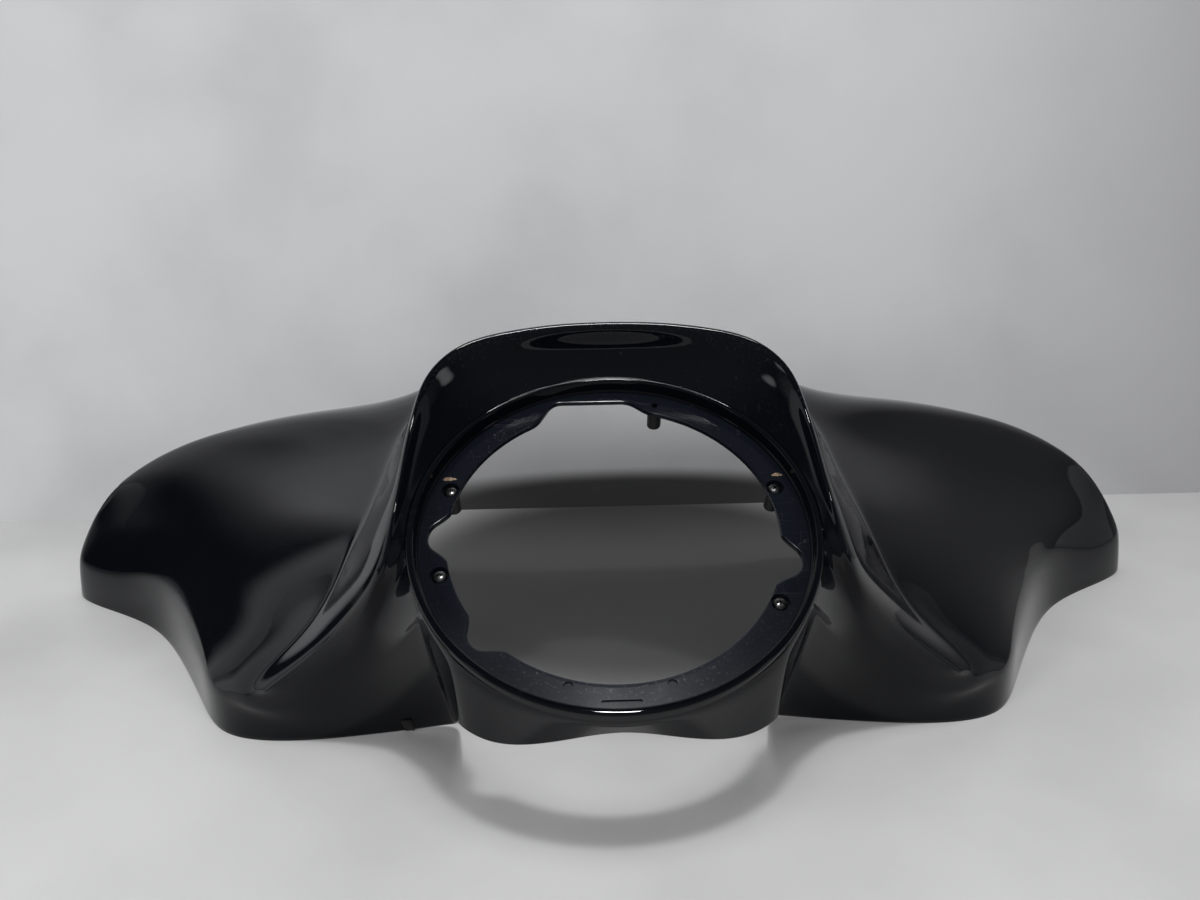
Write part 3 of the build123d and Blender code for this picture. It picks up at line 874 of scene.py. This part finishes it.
lip_foot = LIP_R_IN - LIP_FOOT_ROUND
lip_section = (
    arc(lip_foot, -FLANGE_DEPTH + LIP_FOOT_ROUND, LIP_FOOT_ROUND, -90, 0, 6)
    + arc(LIP_R_IN + LIP_IN_ROUND, LIP_TOP - LIP_IN_ROUND, LIP_IN_ROUND, 180, 90, 5)
    + arc(LIP_R_OUT - LIP_OUT_ROUND, LIP_TOP - LIP_OUT_ROUND, LIP_OUT_ROUND, 90, 0, 6)
    + [(LIP_R_OUT, -FLANGE_DEPTH - FLANGE_T), (lip_foot, -FLANGE_DEPTH - FLANGE_T)]
)
lip_mesh = loop_mesh("headlight_lip", spun(lip_section, LIP_STEPS))
lip_mesh.transform(RING_TO_TABLE)
smooth_but_sharp(lip_mesh, 50)
lip = new_piece("headlight_lip", lip_mesh, [gloss_black])
print("lip section points", len(lip_section))

# %% [markdown]
# The flange carries the headlight. Its inner edge has cut-outs: one wide relief at the top and
# three round ones for the headlight's own screws. Cutting them with drills would leave knife
# corners. So the edge is written as one radius for each angle, and the radius is averaged over a
# few degrees, which rounds every corner.

# %% Flange outline
FLANGE_R_IN = 88.5
FLANGE_R_OUT = LIP_R_IN - 1.2
FLANGE_STEPS = 720
CORNER_ROUNDING = 5     # steps to each side that the radius is averaged over
TOP_RELIEF = [(-43, 76), (-33, 95), (12, 95), (27, 82)]
ROUND_RELIEFS = [(104, 12, 99.5), (227, 11, 97.5), (269, 12, 98.5)]     # angle, radius, deepest


def relief_reach(angle):
    """Radius of the flange's inner edge at an angle, with square corners."""
    a = radians(angle)
    ray = Vector((sin(a), cos(a)))
    reach = FLANGE_R_IN
    for (x1, y1), (x2, y2) in zip(TOP_RELIEF, TOP_RELIEF[1:]):
        side = Vector((x2 - x1, y2 - y1))
        spread = ray.x * side.y - ray.y * side.x
        if abs(spread) > 1e-9:
            far = (x1 * side.y - y1 * side.x) / spread
            along = (x1 * ray.y - y1 * ray.x) / spread
            if 0 <= along <= 1 and far > 0:
                reach = max(reach, far)
    for middle, radius, deepest in ROUND_RELIEFS:
        turn = radians(angle - middle)
        inside = radius ** 2 - ((deepest - radius) * sin(turn)) ** 2
        if inside > 0 and cos(turn) > 0:
            reach = max(reach, (deepest - radius) * cos(turn) + sqrt(inside))
    return reach


def flange_rings(steps, rounding):
    """Rings of the flange from the outer foot round the inner edge and back."""
    sharp = [relief_reach(360 * k / steps) for k in range(steps)]
    window = range(-rounding, rounding + 1)
    inner = [sum(sharp[(k + d) % steps] for d in window) / len(window) for k in range(steps)]
    top, bottom = -FLANGE_DEPTH, -FLANGE_DEPTH - FLANGE_T
    rings = []
    for inset, z in [(None, bottom), (0.5, bottom), (0.0, bottom + 0.5), (0.0, top - 0.9),
                     (0.25, top - 0.3), (0.9, top), (2.2, top), (None, top)]:
        radii = [FLANGE_R_OUT if inset is None else r + inset for r in inner]
        rings.append([(r * sin(2 * pi * k / steps), r * cos(2 * pi * k / steps), z)
                      for k, r in enumerate(radii)])
    return rings


flange = new_piece("headlight_flange",
                   loop_mesh("headlight_flange", flange_rings(FLANGE_STEPS, CORNER_ROUNDING)),
                   [flange_black])
print("flange faces before drilling", len(flange.data.polygons))

# %% [markdown]
# Holes follow: four screw seats with their pilot holes, the pilot hole of a spare boss, two shallow
# dimples and a short slot at the bottom. They are real cuts, because a dark painted dot has no edge
# that catches the light.

# %% Holes of the flange
SCREW_CIRCLE_R = 93.7
SCREW_ANGLES = [73.5, 120.0, 254.0, 288.5]
SPARE_BOSS = (95.5, 17.0)
DIMPLES = [(92.5, 165.0), (92.5, 195.5)]
SLOT = (97.5, 180.0)
SLOT_LENGTH = 19.0
SLOT_WIDTH = 1.8
SEAT_R = 4.9
SEAT_DEPTH = 2.4
SEAT_DRILL = 20
PILOT_R = 1.9
PILOT_DRILL = 40
DIMPLE_R = 2.4
SHALLOW_DRILL = 2.4     # half of it goes in


def on_ring(radius, angle, height):
    """Place on the ring plane in its own millimetres."""
    a = radians(angle)
    return Matrix.Translation((radius * sin(a), radius * cos(a), height))


def slot_drill(length, width, depth, place):
    """A long drill with round ends, for a slot."""
    outline = []
    for k in range(32):
        a = 2 * pi * (k + 0.5) / 32
        end = copysign((length - width) / 2, cos(a))
        outline.append((width / 2 * cos(a) + end, width / 2 * sin(a)))
    rings = [[(x * s, y * s, z) for x, y in outline]
             for s, z in [(0.01, -depth / 2), (1, -depth / 2), (1, depth / 2), (0.01, depth / 2)]]
    mesh = loop_mesh("slot_drill", rings)
    mesh.transform(place)
    return new_piece("slot_drill", mesh, [])


seat_height = -FLANGE_DEPTH - SEAT_DEPTH + SEAT_DRILL / 2
cutters = [drill(SEAT_R, SEAT_DRILL, on_ring(SCREW_CIRCLE_R, a, seat_height)) for a in SCREW_ANGLES]
pilots = [(SCREW_CIRCLE_R, a) for a in SCREW_ANGLES] + [SPARE_BOSS]
cutters += [drill(PILOT_R, PILOT_DRILL, on_ring(*place, -FLANGE_DEPTH)) for place in pilots]
cutters += [drill(DIMPLE_R, SHALLOW_DRILL, on_ring(*place, -FLANGE_DEPTH)) for place in DIMPLES]
cutters.append(slot_drill(SLOT_LENGTH, SLOT_WIDTH, SHALLOW_DRILL, on_ring(*SLOT, -FLANGE_DEPTH)))
cut(flange, cutters)
print("flange faces", len(flange.data.polygons))

# %% [markdown]
# The lower half of the flange was rubbed along its inner edge and holds a grey film, partly dust
# and partly painted reflection. Both grow towards the bottom, so each point gets its share by how
# far down it lies.

# %% Wear of the flange
EDGE_BAND = 3           # width of the rubbed edge
FACE_WEAR = 0.25
FILM_AND_PAINTED_REFLECTION = 9.0

wear, film_and_painted_reflection = [], []
for vertex in flange.data.vertices:
    x, y, z = vertex.co
    below = max(0.0, -y / hypot(x, y))
    near_edge = hypot(x, y) < FLANGE_R_IN + EDGE_BAND and z > -FLANGE_DEPTH - 1.0
    wear.append(below ** 2 if near_edge else FACE_WEAR * below)
    # Painted reflection, partly dust: the grey film grows steeply towards the bottom.
    film_and_painted_reflection.append(FILM_AND_PAINTED_REFLECTION * below ** 4)
flange.data.attributes.new("rubbed", "FLOAT", "POINT").data.foreach_set("value", wear)
flange.data.attributes.new("painted_reflection_and_film", "FLOAT", "POINT").data.foreach_set("value", film_and_painted_reflection)
flange.data.transform(RING_TO_TABLE)
smooth_but_sharp(flange.data, 35)
print("rubbed points", sum(w > 0 for w in wear))

# %% [markdown]
# ## Bosses and screws by Geometry Nodes
#
# Four screws and five bosses repeat the same two shapes round the flange. Copying them by hand
# would fix their places in many meshes. A small node tree takes a cloud of points and one shape,
# sets the shape on every point with a random turn, and makes the copies real, so one list of places
# drives both rows.


# %% Tree that sets a shape on points
def set_on_points_tree():
    """Geometry Nodes: one shape on each point, turned about Z by a random angle."""
    tree = bpy.data.node_groups.new("set_on_points", "GeometryNodeTree")
    sockets = {}
    for name, kind in [("Points", "NodeSocketGeometry"), ("Shape", "NodeSocketObject"),
                       ("Turn", "NodeSocketFloat"), ("Seed", "NodeSocketInt"),
                       ("Finish", "NodeSocketMaterial")]:
        sockets[name] = tree.interface.new_socket(name, in_out="INPUT", socket_type=kind).identifier
    tree.interface.new_socket("Geometry", in_out="OUTPUT", socket_type="NodeSocketGeometry")
    given = tree.nodes.new("NodeGroupInput").outputs
    shape = node(tree, "GeometryNodeObjectInfo", {"Object": given["Shape"]}).outputs["Geometry"]
    points = node(tree, "GeometryNodeMeshToPoints", {"Mesh": given["Points"]}).outputs[0]
    chance = node(tree, "FunctionNodeRandomValue", data_type="FLOAT")
    tree.links.new(given["Seed"], chance.inputs["Seed"])
    tree.links.new(given["Turn"], chance.inputs[3])
    turn = node(tree, "ShaderNodeCombineXYZ", {"Z": chance.outputs[1]}).outputs[0]
    copies = node(tree, "GeometryNodeInstanceOnPoints",
                  {"Points": points, "Instance": shape, "Rotation": turn}).outputs[0]
    solid = node(tree, "GeometryNodeRealizeInstances", {"Geometry": copies}).outputs[0]
    painted = node(tree, "GeometryNodeSetMaterial",
                   {"Geometry": solid, "Material": given["Finish"]}).outputs[0]
    node(tree, "NodeGroupOutput", {"Geometry": painted})
    return tree, sockets


spread_tree, spread_sockets = set_on_points_tree()


def spread(name, places, shape, turn, seed, finish):
    """A piece made of one shape at each place on the ring plane."""
    mesh = bpy.data.meshes.new(name)
    mesh.from_pydata([place.translation for place in places], [], [])
    piece = new_piece(name, mesh, [])
    modifier = piece.modifiers.new("set_on_points", "NODES")
    modifier.node_group = spread_tree
    for socket, value in [("Shape", shape), ("Turn", turn), ("Seed", seed), ("Finish", finish)]:
        modifier[spread_sockets[socket]] = value
    settle(piece)
    piece.data.transform(RING_TO_TABLE)
    smooth_but_sharp(piece.data, 35)
    bpy.data.objects.remove(shape)
    return piece


print("tree inputs", list(spread_sockets))

# %% [markdown]
# A boss is a short tube behind the flange with a rounded end, and it takes the screw. It is one
# spun section, as the lip is, and the tree sets it on all five places. Pulling the tubes out of the
# flange mesh would make the holes harder to cut.

# %% Bosses
BOSS_R = 4.2
BOSS_LENGTH = 16.0
BOSS_ROUND = 1.0
BOSS_TOP = 2.5
BOSS_DROP = 1.5

boss_section = (
    arc(BOSS_R - BOSS_ROUND, -BOSS_LENGTH + BOSS_ROUND, BOSS_ROUND, 0, -90, 5)
    + [(PILOT_R, -BOSS_LENGTH), (PILOT_R, -BOSS_TOP), (BOSS_R, -BOSS_TOP)]
)
boss_shape = new_piece("boss_shape", loop_mesh("boss_shape", spun(boss_section, 40)), [])
boss_places = [on_ring(*place, -FLANGE_DEPTH - BOSS_DROP) for place in pilots]
bosses = spread("flange_bosses", boss_places, boss_shape, 0.0, 1, bare_plastic)
print("bosses faces", len(bosses.data.polygons))

# %% [markdown]
# A screw has a domed head with a cross recess and a threaded shank in the boss. The thread is a row
# of rings, not a helix: it is hidden in the boss, and rings spin with the rest of the section. The
# recess is cut by two crossed bars that taper downwards.

# %% Screw shape
HEAD_R = 3.8
HEAD_H = 2.2
HEAD_RIM = 0.7
SHANK_R = 1.85
SHANK_LENGTH = 14.0
AXIS_R = 0.05           # the section ends just off the axis
THREADS = 14
THREAD_PITCH = 0.9
THREAD_DEPTH = 0.45
RECESS = (4.4, 1.1, 2.6)
RECESS_TAPER = 0.45


def recess_bar(turn):
    """One bar of the cross recess, narrower at its lower end."""
    place = Matrix.Rotation(radians(turn), 4, "Z") @ Matrix.Translation((0, 0, HEAD_H))
    mesh = bpy.data.meshes.new("recess")
    bar = bmesh.new()
    bmesh.ops.create_cube(bar, size=1.0, matrix=place @ Matrix.Diagonal((*RECESS, 1)))
    for vertex in bar.verts:
        if vertex.co.z < HEAD_H:
            vertex.co.x *= RECESS_TAPER
            vertex.co.y *= RECESS_TAPER
    bar.to_mesh(mesh)
    bar.free()
    return new_piece("recess", mesh, [])


def screw_shape():
    """One cross-recess screw, the underside of its head at the origin."""
    section = [(AXIS_R, -SHANK_LENGTH)]
    for k in range(THREADS):
        z = -SHANK_LENGTH + 1.0 + k * THREAD_PITCH
        section += [(SHANK_R - THREAD_DEPTH, z), (SHANK_R, z + THREAD_PITCH / 2)]
    section += [(SHANK_R - 0.3, -0.2), (SHANK_R, 0.0), (HEAD_R, 0.0), (HEAD_R, HEAD_RIM)]
    for t in range(12, 90, 11):
        dome = (HEAD_H - HEAD_RIM) * sin(radians(t))
        section.append((HEAD_R * cos(radians(t)), HEAD_RIM + dome))
    section.append((AXIS_R, HEAD_H))
    shape = new_piece("screw_shape", loop_mesh("screw_shape", spun(section, 48)), [])
    cut(shape, [recess_bar(turn) for turn in (0, 90)])
    return shape


one_screw = screw_shape()
print("one screw has", len(one_screw.data.polygons), "faces")

# %% [markdown]
# The screws are dark plated steel with a little dirt, so they stay duller than chrome. Each one
# stopped at its own turn when it was driven home.


# %% Screws
def dark_steel_finish():
    """Dark plated screw steel with patches of dirt."""
    finish, tree, shader = new_finish("dark_screw_steel")
    place = node(tree, "ShaderNodeTexCoord").outputs["Object"]
    dirt = noise_of(tree, place, 420.0, 4.0)
    colour = blend_colours(tree, ramp(tree, dirt, 0.45, 0.70), (0.16, 0.16, 0.165),
                           (0.05, 0.048, 0.045))
    tree.links.new(colour, shader.inputs["Base Color"])
    tree.links.new(ramp(tree, dirt, 0.3, 0.7, 0.18, 0.42), shader.inputs["Roughness"])
    shader.inputs["Metallic"].default_value = 1.0
    return finish


dark_steel = dark_steel_finish()
screw_places = [on_ring(SCREW_CIRCLE_R, a, -FLANGE_DEPTH - SEAT_DEPTH) for a in SCREW_ANGLES]
screws = spread("flange_screws_detailed", screw_places, one_screw, pi, 7, dark_steel)
print("screws faces", len(screws.data.polygons))

# %% [markdown]
# ## Locating tab
#
# Behind the left lobe a small tab reaches past the edge. It is a block with rounded edges that
# leans with the lobe panel. Pulling it out of the skin would disturb the even cage there.

# %% Locating tab
TAB_SIZE = (6.0, 3.0, 14.0)
TAB_ROUND = 0.6
TAB_FOOT = Vector((-124.5, -57.0, 1.0))
TAB_LEAN = 38.0


def tab_mesh():
    """Rounded block that leans with the lobe panel."""
    shape = bmesh.new()
    foot = Matrix.Scale(MM, 4) @ Matrix.Translation(TAB_FOOT + TABLE_SHIFT)
    lean = Matrix.Rotation(radians(TAB_LEAN), 4, "X")
    place = foot @ lean @ Matrix.Translation((0, 0, TAB_SIZE[2] / 2))
    bmesh.ops.create_cube(shape, size=1.0, matrix=Matrix.Diagonal((*TAB_SIZE, 1)))
    bmesh.ops.bevel(shape, geom=shape.edges[:], offset=TAB_ROUND, segments=3, affect="EDGES",
                    profile=0.5)
    bmesh.ops.transform(shape, matrix=place, verts=shape.verts)
    mesh = bpy.data.meshes.new("locating_tab")
    shape.to_mesh(mesh)
    shape.free()
    smooth_but_sharp(mesh, 60)
    return mesh


tab = new_piece("locating_tab", tab_mesh(), [bare_plastic])
print("tab faces", len(tab.data.polygons))

# %% [markdown]
# ## Dried residue
#
# Above the two upper screws a tan scrap of old sealer is stuck to the flange. The scraps are thin
# lumpy flakes with a torn outline, because a painted spot would stay too flat under the lamp.

# %% Dried residue
# Radius and angle on the ring, length, width, and a number that shapes the torn outline
SCRAPS = [(97.6, 292.6, 7.5, 2.6, 21), (98.8, 69.0, 6.0, 2.4, 22)]
SCRAP_T = 0.45
SCRAP_LIFT = 0.1


def residue_finish():
    """Dry tan sealer, crumbly and dull."""
    finish, tree, shader = new_finish("dry_tan_residue")
    place = node(tree, "ShaderNodeTexCoord").outputs["Object"]
    crumbs = noise_of(tree, place, 900.0, 4.0)
    colour = blend_colours(tree, ramp(tree, crumbs, 0.40, 0.65), (0.30, 0.22, 0.15),
                           (0.10, 0.07, 0.05))
    tree.links.new(colour, shader.inputs["Base Color"])
    rough_bump(tree, shader, crumbs, 0.6, 0.0004)
    shader.inputs["Roughness"].default_value = 0.8
    return finish


def scraps_mesh():
    """Thin flakes with a wavy outline, each lying on the flange face."""
    shape = bmesh.new()
    for radius, angle, length, width, seed in SCRAPS:
        made = bmesh.ops.create_uvsphere(shape, u_segments=28, v_segments=10, radius=1.0)
        for vertex in made["verts"]:
            x, y, z = vertex.co
            turn = atan2(y, x)
            torn = 1.0 + 0.16 * sin(3 * turn + seed) + 0.10 * sin(7 * turn + 2 * seed)
            lumps = 0.75 + 0.25 * sin(5 * x + seed) * sin(4 * y - seed)
            flat = Vector((x * torn * length / 2, y * torn * width / 2, z * SCRAP_T * lumps))
            vertex.co = on_ring(radius, angle, -FLANGE_DEPTH + SCRAP_LIFT) @ flat
    mesh = bpy.data.meshes.new("residue_scraps")
    shape.to_mesh(mesh)
    shape.free()
    mesh.transform(RING_TO_TABLE)
    mesh.shade_smooth()
    return mesh


scraps = new_piece("residue_scraps", scraps_mesh(), [residue_finish()])
print("scraps faces", len(scraps.data.polygons))

# %% [markdown]
# ## Hand the pieces to the frame
#
# All the moulded pieces stand for the one CAD shell and ride on the one body, and the screws stand
# for their own node.

# %% Ride, replace and finish
for piece in (skin, lip, flange, bosses, tab):
    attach(piece, "root")
    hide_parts("fairing_shell")
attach(screws, "root")
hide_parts("flange_screws")
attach(scraps, "root")
